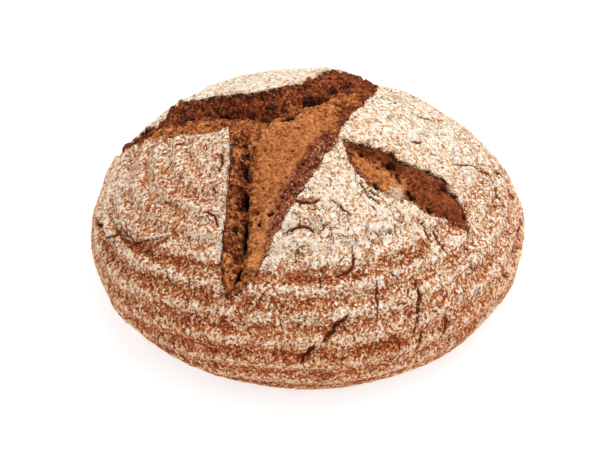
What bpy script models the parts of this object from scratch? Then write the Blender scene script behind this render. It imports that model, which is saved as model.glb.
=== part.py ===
"""A round country loaf, proved in a coiled cane basket, slashed crosswise and baked until it burst open.

The loaf is one solid. Its crust is a turned dome with a flat heel. The cane has pressed shallow rings into it,
and the four flaps of the cross curl up along a torn valley whose deepest line lies near one edge.
Metres, +Z up. The origin is the middle of the heel, on the surface that the loaf stands on, and +Y is its back.
"""

import math

import bmesh
import bpy
from mathutils import Vector

# Driving sizes, in metres.
LOAF_RADIUS = 0.125
LOAF_HEIGHT = 0.112
BELLY_HEIGHT = 0.032  # height of the widest girth
HEEL_RADIUS = 0.102  # the flat that the loaf rests on
CROWN_POWER = 1.58  # 2 is an ellipse, and less is a steeper, more peaked crown
HEEL_POWER = 2.1

# The rings that the coiled cane leaves, measured along the crust from the top of the loaf.
RING_PITCH = 0.0135
RING_RELIEF = 0.0010
FIRST_RIDGE = 0.0475
RINGS_END = 0.180
RING_FADE = 0.016  # the rings fade in and out over this stretch of crust
PUSHED_ANGLE = math.radians(-160)  # the front left flap has been pushed outwards, and its rings with it
PUSHED_SPREAD = math.radians(38)
PUSHED_BY = 0.019

# Where the loaf sank as it baked: degrees round it, distance from its axis, the dip's width and its depth.
SLUMPS = (
    (42, 0.101, 0.026, 0.0065),
    (24, 0.114, 0.024, 0.0045),
    (58, 0.090, 0.015, 0.0060),
    (98, 0.084, 0.034, 0.0036),
    (132, 0.097, 0.024, 0.0032),
    (156, 0.111, 0.018, 0.0050),
)
CROWN_FADE = 0.025  # dips and lips fade out over this height above the belly, which stays as it was proved

# The cross. Crust thickness shows as a small step at the edge of each flap.
CRUST_THICKNESS = 0.0018
THIN_ARM = 0.020  # an arm narrower than this is shallower too
NARROWEST = 0.0005  # the cutter keeps this half width at an arm's tip
LIP_RISE = 0.0024
LIP_REACH = 0.007
STATION_STEP = 0.0075
CUTTER_ABOVE = 0.018

# The mesh.
TURN_STEPS = 72
POINT_SPACING = 0.0034
OUTLINE_STEPS = 240
SHARP_ANGLE = math.radians(35)
WELD = 0.00001


class Side:
    """One edge of an arm: how far it stands off the arm's axis at the distance u from the arm's inner end."""

    def __init__(self, width, outer_power, peak=0.0, inner_power=None):
        self.width = width
        self.outer_power = outer_power
        self.peak = peak
        self.inner_power = inner_power

    def reach(self, u, length):
        """Distance from the axis to the edge. It is negative past the ends of the arm."""
        if u > self.peak:
            return self.width * (1 - ((u - self.peak) / (length - self.peak)) ** self.outer_power)
        if self.inner_power is None:
            return self.width
        return self.width * (1 - ((self.peak - u) / self.peak) ** self.inner_power)


class Arm:
    """One arm of the burst cross, seen from above, as a valley between two flaps."""

    def __init__(self, name, start, degrees, length, left, right, deep_share, depth, first_station):
        self.name = name
        self.start = Vector(start)
        self.along = Vector((math.cos(math.radians(degrees)), math.sin(math.radians(degrees))))
        self.across = Vector((-self.along.y, self.along.x))
        self.length = length
        self.left = left
        self.right = right
        self.deep_share = deep_share  # where the deepest line runs, from 0 at the right edge to 1 at the left
        self.depth = depth
        self.first_station = first_station

    def place(self, u, v):
        return self.start + self.along * u + self.across * v

    def inside_left(self, point):
        """How far a point lies inside the left edge. It is negative on the flap."""
        offset = point - self.start
        return self.left.reach(offset.dot(self.along), self.length) - offset.dot(self.across)

    def inside_right(self, point):
        offset = point - self.start
        return self.right.reach(offset.dot(self.along), self.length) + offset.dot(self.across)


CENTRE = (-0.008, 0.002)
ARM_LEFT = Arm("left", CENTRE, 163, 0.110, Side(0.026, 2.5), Side(0.017, 3.0), 0.30, 0.011, -0.006)
ARM_FRONT = Arm("front", CENTRE, -107, 0.111, Side(0.030, 2.3), Side(0.032, 1.3), 0.25, 0.012, -0.006)
ARM_BACK = Arm("back", CENTRE, 59, 0.105, Side(0.012, 3.0), Side(0.036, 2.0), 0.78, 0.011, -0.006)
SLIT_BACK = Side(0.016, 2.0, 0.055, 1.0)
SLIT_FRONT = Side(0.017, 0.8, 0.025, 1.7)
ARM_RIGHT = Arm("right", (0.018, -0.026), -24, 0.076, SLIT_BACK, SLIT_FRONT, 0.68, 0.009, 0.004)
ARMS = (ARM_LEFT, ARM_FRONT, ARM_BACK, ARM_RIGHT)


def clear_scene():
    for thing in list(bpy.data.objects):
        bpy.data.objects.remove(thing)


def new_collection(name, hidden=False):
    made = bpy.data.collections.new(name)
    bpy.context.scene.collection.children.link(made)
    made.hide_render = hidden
    return made


def crust_material():
    made = bpy.data.materials.new("floured_rye_crust")
    made.use_nodes = True
    shader = made.node_tree.nodes["Principled BSDF"]
    shader.inputs["Base Color"].default_value = (0.42, 0.20, 0.09, 1)
    shader.inputs["Roughness"].default_value = 0.85
    shader.inputs["Metallic"].default_value = 0.0
    return made


def superellipse(t, power):
    """A quarter of a superellipse, from (1, 0) at t = 0 to (0, 1) at t = 1."""
    angle = t * math.pi / 2
    return max(math.cos(angle), 0) ** (2 / power), math.sin(angle) ** (2 / power)


def fine_profile():
    """The smooth section of the loaf, from the top of the crown down to the edge of the heel, closely spaced."""
    points = []
    for i in range(OUTLINE_STEPS, -1, -1):
        across, up = superellipse(i / OUTLINE_STEPS, CROWN_POWER)
        points.append((LOAF_RADIUS * across, BELLY_HEIGHT + (LOAF_HEIGHT - BELLY_HEIGHT) * up))
    for i in range(1, OUTLINE_STEPS + 1):
        across, down = superellipse(i / OUTLINE_STEPS, HEEL_POWER)
        points.append((HEEL_RADIUS + (LOAF_RADIUS - HEEL_RADIUS) * across, BELLY_HEIGHT * (1 - down)))
    return points


def evenly_spaced(points, spacing):
    """(distance along, radius, height) at equal steps along the section."""
    walked = [0.0]
    for a, b in zip(points, points[1:]):
        walked.append(walked[-1] + math.dist(a, b))
    count = round(walked[-1] / spacing)
    made = []
    i = 0
    for step in range(count + 1):
        along = walked[-1] * step / count
        while i < len(points) - 2 and walked[i + 1] < along:
            i += 1
        share = (along - walked[i]) / (walked[i + 1] - walked[i])
        a, b = points[i], points[i + 1]
        made.append((along, a[0] + (b[0] - a[0]) * share, a[1] + (b[1] - a[1]) * share))
    return made


def smooth_step(x):
    x = min(max(x, 0.0), 1.0)
    return x * x * (3 - 2 * x)


def ring_relief(along, angle):
    """The cane's rings: round ridges with grooves between, faded out on the crown and at the heel."""
    away = math.remainder(angle - PUSHED_ANGLE, 2 * math.pi) / PUSHED_SPREAD
    shifted = along - PUSHED_BY * math.exp(-away * away)
    strength = smooth_step((along - FIRST_RIDGE) / RING_FADE) * smooth_step((RINGS_END - along) / RING_FADE)
    return RING_RELIEF * strength * math.cos(2 * math.pi * (shifted - FIRST_RIDGE) / RING_PITCH)


def into_cross(point):
    """How far a point, seen from above, lies inside the burst cross. It is negative on the four flaps."""
    flaps = (
        max(ARM_LEFT.inside_left(point), ARM_FRONT.inside_right(point)),
        max(ARM_FRONT.inside_left(point), ARM_RIGHT.inside_right(point)),
        max(ARM_RIGHT.inside_left(point), ARM_BACK.inside_right(point)),
        max(ARM_BACK.inside_left(point), ARM_LEFT.inside_right(point)),
    )
    return min(flaps)


def lip_relief(place):
    """The flaps curl up towards the torn edge, and level out inside it."""
    return LIP_RISE * on_crown(place.z) * math.exp(min(into_cross(place.xy), 0.0) / LIP_REACH)


def on_crown(height):
    return smooth_step((height - BELLY_HEIGHT) / CROWN_FADE)


def sunk_by(place, height):
    """How far the crown sank at a place seen from above."""
    dips = 0.0
    for degrees, radius, width, depth in SLUMPS:
        middle = radius * Vector((math.cos(math.radians(degrees)), math.sin(math.radians(degrees))))
        dips += depth * math.exp(-(((place - middle).length / width) ** 2))
    return dips * on_crown(height)


def turned_dome(collection):
    """The loaf before it bursts: the section turned round the upright axis, then raised into rings and lips."""
    section = evenly_spaced(fine_profile(), POINT_SPACING)
    outline = bpy.data.meshes.new("section")
    points = [(radius, 0, height) for _, radius, height in section] + [(0, 0, 0)]
    points[0] = (0, 0, LOAF_HEIGHT)
    outline.from_pydata(points, [(i, i + 1) for i in range(len(points) - 1)], [])
    turning = bpy.data.objects.new("section", outline)
    collection.objects.link(turning)
    screw = turning.modifiers.new("Turn", "SCREW")
    screw.steps = screw.render_steps = TURN_STEPS
    screw.use_merge_vertices = True
    screw.merge_threshold = WELD
    bpy.context.view_layer.update()
    graph = bpy.context.evaluated_depsgraph_get()
    mesh = bpy.data.meshes.new_from_object(turning.evaluated_get(graph))
    bpy.data.objects.remove(turning)
    raise_crust(mesh, section)
    mesh.name = "loaf"
    loaf = bpy.data.objects.new("loaf", mesh)
    collection.objects.link(loaf)
    return loaf


def raise_crust(mesh, section):
    """Moves each point of the crust out by the rings and the lips, and down by the dips. The heel stays flat."""
    shape = bmesh.new()
    shape.from_mesh(mesh)
    bmesh.ops.remove_doubles(shape, verts=shape.verts, dist=WELD)
    bmesh.ops.recalc_face_normals(shape, faces=shape.faces)
    shape.normal_update()
    moves = []
    for vertex in shape.verts:
        if vertex.co.z < WELD:
            continue
        radius = math.hypot(vertex.co.x, vertex.co.y)
        along = min(section, key=lambda p: (p[1] - radius) ** 2 + (p[2] - vertex.co.z) ** 2)[0]
        rise = ring_relief(along, math.atan2(vertex.co.y, vertex.co.x)) + lip_relief(vertex.co)
        down = Vector((0, 0, sunk_by(vertex.co.xy, vertex.co.z)))
        moves.append((vertex, vertex.normal * rise - down))
    for vertex, move in moves:
        vertex.co += move
    bmesh.ops.triangulate(shape, faces=shape.faces)
    shape.to_mesh(mesh)
    shape.free()


def crown_height(place):
    """Height of the crown, without its rings and lips, at a place seen from above."""
    share = min(place.length / LOAF_RADIUS, 1.0)
    height = BELLY_HEIGHT + (LOAF_HEIGHT - BELLY_HEIGHT) * (1 - share**CROWN_POWER) ** (1 / CROWN_POWER)
    return height - sunk_by(place, height)


def valley_section(arm, u):
    """The five corners of the cutter across an arm: down one side to the deepest line and up the other."""
    right = -max(arm.right.reach(u, arm.length), NARROWEST)
    left = max(arm.left.reach(u, arm.length), NARROWEST)
    deep = right + (left - right) * arm.deep_share
    fade = smooth_step((left - right) / THIN_ARM)
    corners = []
    for v, drop in (
        (right, -CUTTER_ABOVE),
        (right, CRUST_THICKNESS * fade),
        (deep, arm.depth * fade),
        (left, CRUST_THICKNESS * fade),
        (left, -CUTTER_ABOVE),
    ):
        place = arm.place(u, v)
        corners.append(Vector((place.x, place.y, crown_height(place) - drop)))
    return corners


def valley_cutter(arm, collection):
    """A loft through the sections of one arm, closed at both ends."""
    count = math.ceil((arm.length - arm.first_station) / STATION_STEP)
    shape = bmesh.new()
    rows = []
    for i in range(count + 1):
        u = arm.first_station + (arm.length - arm.first_station) * i / count
        rows.append([shape.verts.new(corner) for corner in valley_section(arm, u)])
    for near, far in zip(rows, rows[1:]):
        for i in range(len(near)):
            after = (i + 1) % len(near)
            shape.faces.new((near[i], near[after], far[after], far[i]))
    shape.faces.new(rows[0])
    shape.faces.new(rows[-1][::-1])
    bmesh.ops.recalc_face_normals(shape, faces=shape.faces)
    bmesh.ops.triangulate(shape, faces=shape.faces)
    mesh = bpy.data.meshes.new("valley_" + arm.name)
    shape.to_mesh(mesh)
    shape.free()
    mesh.shade_smooth()
    cutter = bpy.data.objects.new("valley_" + arm.name, mesh)
    cutter.hide_render = True
    cutter.display_type = "WIRE"
    collection.objects.link(cutter)
    return cutter


def burst_open(loaf, cutters):
    for cutter in cutters:
        cut = loaf.modifiers.new(cutter.name, "BOOLEAN")
        cut.operation = "DIFFERENCE"
        cut.object = cutter
        cut.solver = "EXACT"


def main():
    clear_scene()
    loaf_parts = new_collection("country_loaf")
    cutters = new_collection("cutters", hidden=True)
    loaf = turned_dome(loaf_parts)
    loaf.data.materials.append(crust_material())
    burst_open(loaf, [valley_cutter(arm, cutters) for arm in ARMS])
    loaf.data.shade_smooth()
    loaf.data.set_sharp_from_angle(angle=SHARP_ANGLE)


main()
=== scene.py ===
"""Walnut bread: a round country loaf with a floured, ring-marked crust, burst open along a slashed cross."""

import math

import bmesh
import bpy
import numpy as np
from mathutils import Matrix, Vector, kdtree, noise


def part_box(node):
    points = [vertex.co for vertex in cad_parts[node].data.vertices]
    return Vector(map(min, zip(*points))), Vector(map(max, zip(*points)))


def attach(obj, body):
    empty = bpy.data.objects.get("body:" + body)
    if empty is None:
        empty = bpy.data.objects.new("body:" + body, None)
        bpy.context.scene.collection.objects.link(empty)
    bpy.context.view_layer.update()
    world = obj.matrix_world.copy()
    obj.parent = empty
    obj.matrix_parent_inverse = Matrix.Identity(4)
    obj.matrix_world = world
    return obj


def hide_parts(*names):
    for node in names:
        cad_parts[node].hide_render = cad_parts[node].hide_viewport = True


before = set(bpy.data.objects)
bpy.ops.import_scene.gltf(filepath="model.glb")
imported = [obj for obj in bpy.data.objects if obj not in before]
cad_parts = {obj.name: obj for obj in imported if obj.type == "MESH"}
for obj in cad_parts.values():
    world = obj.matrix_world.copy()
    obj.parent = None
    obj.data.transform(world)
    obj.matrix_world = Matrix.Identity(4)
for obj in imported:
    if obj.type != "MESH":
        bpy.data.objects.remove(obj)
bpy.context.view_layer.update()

# The crust: dough proved upside down in a floured cane basket, turned out, slashed crosswise and baked on
# stone. The canes left shallow rings, the flour stayed on their ridges, and the skin crazed where it
# stretched. It is one closed skin, cut from a flat grid, a map centred on the crown, and wrapped on the loaf.

MM = 0.001
RING_RELIEF = 1.0
RING_PITCH = 13.5
FIRST_RIDGE = 47.5
loaf_low, loaf_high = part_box("loaf")
LOAF_RADIUS = (loaf_high.x - loaf_low.x) / 2 / MM - RING_RELIEF
LOAF_HEIGHT = loaf_high.z / MM + 1.1  # the crown stood this much over the torn crumb before it burst
BELLY_HEIGHT = 32.0
HEEL_RADIUS = 102.0
CROWN_POWER = 1.58
HEEL_POWER = 2.1


def section_of_loaf(steps=1500):
    """Distance along the crust, radius, height and outward direction, from the crown to the heel's edge."""
    turn = np.linspace(math.pi / 2, 0, steps)
    crown_r = LOAF_RADIUS * np.cos(turn).clip(0) ** (2 / CROWN_POWER)
    crown_z = BELLY_HEIGHT + (LOAF_HEIGHT - BELLY_HEIGHT) * np.sin(turn) ** (2 / CROWN_POWER)
    turn = turn[::-1][1:]
    heel_r = HEEL_RADIUS + (LOAF_RADIUS - HEEL_RADIUS) * np.cos(turn).clip(0) ** (2 / HEEL_POWER)
    heel_z = BELLY_HEIGHT * (1 - np.sin(turn) ** (2 / HEEL_POWER))
    radius = np.concatenate([crown_r, heel_r])
    height = np.concatenate([crown_z, heel_z])
    along = np.concatenate([[0], np.hypot(np.diff(radius), np.diff(height)).cumsum()])
    even = np.linspace(0, along[-1], steps)
    radius, height = np.interp(even, along, radius), np.interp(even, along, height)
    out_r, out_z = -np.gradient(height, even), np.gradient(radius, even)
    size = np.hypot(out_r, out_z)
    return even, radius, height, out_r / size, out_z / size


ALONG, RADIUS, HEIGHT, OUT_R, OUT_Z = section_of_loaf()
HEEL_AT = ALONG[-1]
BELLY_AT = ALONG[RADIUS.argmax()]


def smooth_step(x):
    x = np.clip(x, 0, 1)
    return x * x * (3 - 2 * x)


def on_map(plan):
    """Places on the crown as seen from above, in millimetres, moved to the map of the crust."""
    plan = np.asarray(plan, float)
    reach = np.hypot(plan[:, 0], plan[:, 1])
    crown = ALONG <= BELLY_AT
    along = np.interp(reach, RADIUS[crown], ALONG[crown])
    return plan * (along / np.maximum(reach, 1e-6))[:, None]


def on_loaf(spots, rise):
    """Map places as points on the loaf, in millimetres, raised off the smooth crust by rise."""
    along = np.hypot(spots[:, 0], spots[:, 1])
    angle = np.arctan2(spots[:, 1], spots[:, 0])
    out = np.interp(along, ALONG, RADIUS) + rise * np.interp(along, ALONG, OUT_R)
    up = np.interp(along, ALONG, HEIGHT) + rise * np.interp(along, ALONG, OUT_Z)
    return np.stack([out * np.cos(angle), out * np.sin(angle), up], 1)


def lumps(points, size, octaves=3, seed=0):
    """Fractal noise at each point, about -1 to 1, with lumps of a size in millimetres."""
    away = Vector((17.3, 5.1, 9.7)) * seed
    return np.array([noise.fractal(Vector(p) / size + away, 1.0, 2.0, octaves) for p in points.tolist()])


def flowing(points, step=0.5):
    """A smooth line through map places, as evenly spaced points."""
    points = np.asarray(points, float)
    ends = np.concatenate([[2 * points[0] - points[1]], points, [2 * points[-1] - points[-2]]])
    made = []
    for a, b, c, d in zip(ends, ends[1:], ends[2:], ends[3:]):
        t = np.linspace(0, 1, 24, endpoint=False)[:, None]
        bend = (2 * a - 5 * b + 4 * c - d) * t * t + (3 * b - a - 3 * c + d) * t ** 3
        made.append(0.5 * (2 * b + (c - a) * t + bend))
    line = np.concatenate(made + [points[-1:]])
    walked = np.concatenate([[0], np.hypot(*np.diff(line[:, :2], axis=0).T).cumsum()])
    even = np.linspace(0, walked[-1], max(2, int(walked[-1] / step)))
    return np.stack([np.interp(even, walked, line[:, i]) for i in range(line.shape[1])], 1)


def ragged(line, tear, seed=0):
    """A line whose points wander off it, because crust tears in steps. Its ends stay."""
    flat = np.pad(line[:, :2], ((0, 0), (0, 1)))
    ends = smooth_step(np.minimum(np.arange(len(line)), np.arange(len(line))[::-1]) / 8)
    made = line.copy()
    for i in range(2):
        wander = lumps(flat, 6.0, 2, seed + 3 * i + 1) + 0.7 * lumps(flat, 1.9, 2, seed + 3 * i + 2)
        made[:, i] += tear * ends * wander
    return made


def tree_of(points):
    tree = kdtree.KDTree(len(points))
    for i, point in enumerate(points.tolist()):
        tree.insert((point[0], point[1], 0), i)
    tree.balance()
    return tree


def nearest(tree, spots):
    """Index and distance of the tree's point nearest to each map place."""
    found = [tree.find((x, y, 0))[1:] for x, y in spots[:, :2].tolist()]
    index, distance = zip(*found)
    return np.array(index), np.array(distance)


def within(outline, spots):
    """Which map places lie inside a closed outline."""
    x, y = spots[:, 0], spots[:, 1]
    made = np.zeros(len(spots), bool)
    for (x0, y0), (x1, y1) in zip(outline[:, :2], np.roll(outline[:, :2], -1, 0)):
        if y0 != y1:
            made ^= ((y0 > y) != (y1 > y)) & (x < x0 + (y - y0) / (y1 - y0) * (x1 - x0))
    return made


class Edge:
    """One torn edge of a flap, seen from above: how far the crust curls up, and how high the crumb joins it.

    Crust and crumb stand up together near the far end of an edge that is lifted.
    """

    # Each edge's singeing is real, and its dark also paints the shadow under the flap's edge.
    def __init__(self, points, curl, joins, tear, scorch_and_shade, lifted=0.0):
        self.line = ragged(flowing(on_map(points)), tear, len(points))
        share = np.linspace(0, 1, len(self.line))
        lift = lifted * smooth_step((share - 0.35) / 0.25) * smooth_step((1 - share) / 0.15)
        self.curl = curl + lift
        self.joins = joins + lift
        self.scorch_and_shade = scorch_and_shade


# Round the cross from the tip of its front arm, with the flaps on the right hand.
FRONT_RIGHT = Edge(
    [(-42, -104), (-31, -100), (-21, -89), (-13, -75), (-4, -61), (7, -43), (17, -27)],
    curl=0.2, joins=-0.3, tear=1.3, scorch_and_shade=0.1,
)
BACK_RIGHT = Edge(
    [(17, -27), (19, -17), (26, -4), (33, 11), (39, 27), (42, 43), (43, 60), (42, 78), (40, 92)],
    curl=0.4, joins=-0.8, tear=1.2, scorch_and_shade=0.1,
)
BACK_SEAM = Edge(
    [(40, 92), (29, 86), (20, 73), (12, 55), (4, 37), (-6, 25)],
    curl=0.3, joins=-0.5, tear=1.2, scorch_and_shade=0.6,
)
BACK_LEFT = Edge(
    [
        (-6, 25), (-15, 21), (-24, 20), (-39, 24), (-52, 30), (-65, 37), (-79, 49), (-92, 58), (-104, 60),
        (-115, 52),
    ],
    curl=0.5, joins=-0.6, tear=1.3, scorch_and_shade=0.8, lifted=2.5,
)
LEFT_SEAM = Edge(
    [(-115, 52), (-109, 35), (-99, 20), (-88, 11), (-76, 3), (-60, -6), (-50, -10), (-43, -9)],
    curl=0.8, joins=-1.0, tear=0.7, scorch_and_shade=0.2,
)
LEFT_FRONT = Edge(
    [(-43, -9), (-42, -30), (-42, -50), (-44, -72), (-45, -90), (-42, -104)],
    curl=0.9, joins=-1.4, tear=0.7, scorch_and_shade=0.3,
)
CROSS_EDGES = (FRONT_RIGHT, BACK_RIGHT, BACK_SEAM, BACK_LEFT, LEFT_SEAM, LEFT_FRONT)
# The back lip of the slit is singed darkest, which also paints the shadow under its edge.
SLIT_BACK = Edge(
    [(19, -26), (31, -26), (42, -27), (51, -31), (62, -31), (72, -31), (79, -37), (86, -46), (88, -57)],
    curl=0.6, joins=-1.1, tear=1.4, scorch_and_shade=0.7,
)
SLIT_FRONT = Edge(
    [
        (88, -57), (81, -55), (74, -56), (66, -57), (60, -56), (54, -54), (47, -55), (38, -53.5), (29, -48),
        (22, -37), (19, -26),
    ],
    curl=0.2, joins=-0.5, tear=1.2, scorch_and_shade=0.1,
)
SLIT_EDGES = (SLIT_BACK, SLIT_FRONT)
EDGES = CROSS_EDGES + SLIT_EDGES
cross_outline = np.concatenate([edge.line[:-1] for edge in CROSS_EDGES])
slit_outline = np.concatenate([edge.line[:-1] for edge in SLIT_EDGES])
torn_line = np.concatenate([edge.line for edge in EDGES])
torn_curl = np.concatenate([edge.curl for edge in EDGES])
torn_scorch_and_shade = np.concatenate([np.full(len(edge.line), edge.scorch_and_shade) for edge in EDGES])
torn_tree = tree_of(torn_line)


def at_angle(points):
    """Places given as (degrees round the loaf, millimetres along the crust from the crown), on the map."""
    turned = np.radians([p[0] for p in points])
    along = np.array([p[1] for p in points], float)
    return np.stack([along * np.cos(turned), along * np.sin(turned)], 1)


# The cracks that the eye picks out, each with its width in millimetres.
NAMED_CRACKS = (
    ([(-57, 121), (-59, 134), (-62, 147)], 2.1),
    ([(-79, 130), (-83, 137), (-86, 143)], 2.8),
    ([(-88, 145), (-89.5, 149), (-91, 154)], 3.0),
    ([(-60, 149), (-62, 160)], 1.8),
    ([(-52, 149), (-55, 158)], 1.6),
    ([(-27, 145), (-28, 151)], 1.4),
    ([(-11, 89), (-6, 97), (-3, 112), (-5, 119), (-12, 131)], 1.0),
    ([(2, 115), (3, 127), (-1, 140)], 2.0),
    ([(-13, 145), (-9, 149), (-6, 151)], 1.3),
    ([(-43, 99), (-44, 106), (-44, 118)], 0.9),
    ([(-46, 94), (-47, 107)], 0.8),
    ([(-69, 114), (-71, 133)], 0.8),
    ([(-36, 119), (-36, 125)], 0.9),
    ([(-61, 60), (-60, 68), (-57, 76)], 0.9),
    ([(-99, 86), (-95, 82), (-90, 81), (-87, 84)], 1.2),
    ([(-81, 109), (-77, 107), (-74, 101)], 1.2),
    ([(-98, 66), (-91, 67), (-84, 66)], 1.6),
    ([(-78, 66), (-71, 78)], 0.8),
    ([(-12, 62), (-10, 66), (-7, 68)], 1.3),
    ([(14, 70), (12, 79)], 1.0),
    ([(-139, 109), (-144, 118), (-150, 124), (-160, 127)], 0.6),
    ([(-156, 131), (-160, 139)], 1.6),
    ([(-164, 136), (-168, 141), (-173, 145)], 2.2),
    ([(-132, 87), (-128, 86), (-124, 91)], 1.1),
    ([(-152, 58), (-147, 57), (-142, 60)], 1.1),
    ([(-146, 58), (-140, 64)], 0.9),
    ([(-137, 73), (-133, 75)], 1.0),
    ([(-173, 72), (-174, 79)], 1.2),
    ([(34, 60), (32, 64), (30, 68)], 1.4),
)
# Fine ones: how many, degrees from and to, millimetres from and to. Most of them split the front right flap.
SMALL_CRACKS = (
    (60, -97, -34, 56, 108),
    (70, -70, 0, 104, 165),
    (40, -180, -70, 118, 165),
    (20, -30, 60, 50, 140),
    (60, 0, 180, 70, 170),
)
chance = np.random.default_rng(7)
crack_lines = []
crack_widths = []
for spots, width in NAMED_CRACKS:
    crack_lines.append(ragged(flowing(at_angle(spots), 0.3), 1.0, len(crack_lines)))
    crack_widths.append(width)
for count, first, last, nearer, farther in SMALL_CRACKS:
    for i in range(count):
        degrees = chance.uniform(first, last)
        start = chance.uniform(nearer, farther)
        tall = 1.5 + chance.gamma(2.0, 1.8)
        lean = math.degrees(chance.normal(0, 0.7) * tall / start)
        spots = at_angle([(degrees, start), (degrees + lean, start + tall)])
        crack_lines.append(ragged(flowing(spots, 0.3), 0.9, len(crack_lines)))
        crack_widths.append(chance.uniform(0.25, 0.6))
crack_points = np.concatenate(crack_lines)
crack_taper = np.concatenate(
    [np.sin(np.linspace(0.15, math.pi - 0.15, len(line))) ** 0.5 for line in crack_lines]
)
crack_width = crack_taper * np.repeat(crack_widths, [len(line) for line in crack_lines])
crack_tree = tree_of(crack_points)


def trim(shape, verts):
    """Removes vertices, and those that are left with no face."""
    bmesh.ops.delete(shape, geom=verts, context="VERTS")
    bmesh.ops.delete(shape, geom=[v for v in shape.verts if not v.link_faces], context="VERTS")


GRID_STEP = 1.18
crust_shape = bmesh.new()
cells = int(2 * HEEL_AT / GRID_STEP)
bmesh.ops.create_grid(crust_shape, x_segments=cells, y_segments=cells, size=HEEL_AT)
trim(crust_shape, [v for v in crust_shape.verts if v.co.length > HEEL_AT + 0.3 * GRID_STEP])
for vertex in crust_shape.verts:
    if vertex.is_boundary:
        vertex.co *= HEEL_AT / vertex.co.length
upper_count = len(crust_shape.verts)
upper_faces = len(crust_shape.faces)
heel_ring = [e for e in crust_shape.edges if e.is_boundary]
for share in (0.9, 0.6, 0.25):
    made = bmesh.ops.extrude_edge_only(crust_shape, edges=heel_ring)["geom"]
    heel_ring = [e for e in made if isinstance(e, bmesh.types.BMEdge) and e.is_boundary]
    for vertex in {v for e in heel_ring for v in e.verts}:
        vertex.co = vertex.co.normalized() * HEEL_AT * share
        vertex.co.z = -1
heel = bmesh.ops.holes_fill(crust_shape, edges=heel_ring)["faces"]
bmesh.ops.poke(crust_shape, faces=heel)
bmesh.ops.recalc_face_normals(crust_shape, faces=crust_shape.faces)
crust_mesh = bpy.data.meshes.new("crust")
crust_shape.to_mesh(crust_mesh)
crust_shape.free()


def coordinates(mesh):
    flat = np.empty(len(mesh.vertices) * 3)
    mesh.vertices.foreach_get("co", flat)
    return flat.reshape(-1, 3)


def give(mesh, name, values):
    """Stores one number for each vertex, which a material reads by this name."""
    mesh.attributes.new(name, "FLOAT", "POINT").data.foreach_set("value", np.asarray(values, float))


spots = coordinates(crust_mesh)[:, :2]
heel_spots = spots[upper_count:] * HEEL_RADIUS / HEEL_AT
spots = spots[:upper_count]

# The skin tears and cracks along its own lines, so the nearest points of the grid are drawn onto them.
index, away = nearest(torn_tree, spots)
at_tear = away < 0.62 * GRID_STEP
spots = np.where(at_tear[:, None], torn_line[index, :2], spots)
crack_index, crack_away = nearest(crack_tree, spots)
at_crack = (crack_away < 0.6 * GRID_STEP) & (crack_away < 1.5 * crack_width[crack_index]) & ~at_tear
spots = np.where(at_crack[:, None], crack_points[crack_index, :2], spots)

index, away = nearest(torn_tree, spots)
opened = within(cross_outline, spots) | within(slit_outline, spots)
opened &= away > 0.05
crack_index, crack_away = nearest(crack_tree, spots)
smooth_points = on_loaf(spots, np.zeros(len(spots)))
along = np.hypot(spots[:, 0], spots[:, 1])
angle = np.arctan2(spots[:, 1], spots[:, 0])

# The canes slipped on the front left as the loaf was turned out: where, how far, and how wide a stretch.
SLIP_DEGREES = -160
SLIP = 19
SLIP_SPREAD = 38


def slipped_rings(spots, smooth_points):
    """How far along the crust each place was while it lay in the basket."""
    along = np.hypot(spots[:, 0], spots[:, 1])
    turned = np.arctan2(spots[:, 1], spots[:, 0]) - math.radians(SLIP_DEGREES)
    push = np.remainder(turned + math.pi, 2 * math.pi) - math.pi
    slipped = along - SLIP * np.exp(-((push / math.radians(SLIP_SPREAD)) ** 2))
    return slipped + 1.8 * lumps(smooth_points, 45, 2, 4) + 0.6 * lumps(smooth_points, 14, 2, 6)


def ridges(slipped):
    """The wave of the rings: 1 on a ridge, -1 in a groove."""
    return np.cos(2 * math.pi * (slipped - FIRST_RIDGE) / RING_PITCH)


RINGS_FROM = 48
RINGS_TO = 190
# Where the loaf sank a little as it baked: degrees, millimetres along the crust, width, depth.
SLUMPS = (
    (42, 112, 26, 5.5),
    (24, 130, 24, 3.5),
    (55, 88, 20, 10.5),
    (66, 116, 18, 4.0),
    (98, 90, 34, 3.0),
    (132, 106, 24, 2.5),
    (152, 122, 20, 10.0),
    (170, 142, 18, 4.0),
    (-178, 148, 24, 2.5),
)


def heave(spots, smooth_points):
    """The broad relief that crust and crumb share: the basket's rings, soft lumps and slumps."""
    along = np.hypot(spots[:, 0], spots[:, 1])
    ring = ridges(slipped_rings(spots, smooth_points))
    left = smooth_step((-spots[:, 0] - 40) / 50)
    above_heel = smooth_step((HEEL_AT - along) / 25)
    strength = smooth_step((along - RINGS_FROM) / (50 - 25 * left)) * smooth_step((RINGS_TO - along) / 20)
    strength *= 1 + 0.4 * left
    rise = RING_RELIEF * ring * strength * (0.8 + 0.5 * lumps(smooth_points, 30, 2, 5))
    rise += 0.9 * lumps(smooth_points, 34, 2, 1) * above_heel
    for degrees, where, width, depth in SLUMPS:
        off = np.hypot(*(spots - at_angle([(degrees, where)])[0]).T)
        rise -= depth * np.exp(-((off / width) ** 2)) * above_heel
    return rise


CURL_REACH = 6.5
slipped = slipped_rings(spots, smooth_points)
ring = ridges(slipped)
rise = heave(spots, smooth_points)
curl = torn_curl[index] * (0.75 + 0.9 * lumps(smooth_points, 7, 2, 8))
rise += np.where(opened, 0, curl * np.exp(-away / CURL_REACH))
rise += 0.34 * lumps(smooth_points, 5.5, 3, 2) + 0.22 * lumps(smooth_points, 1.7, 2, 3)
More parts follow.
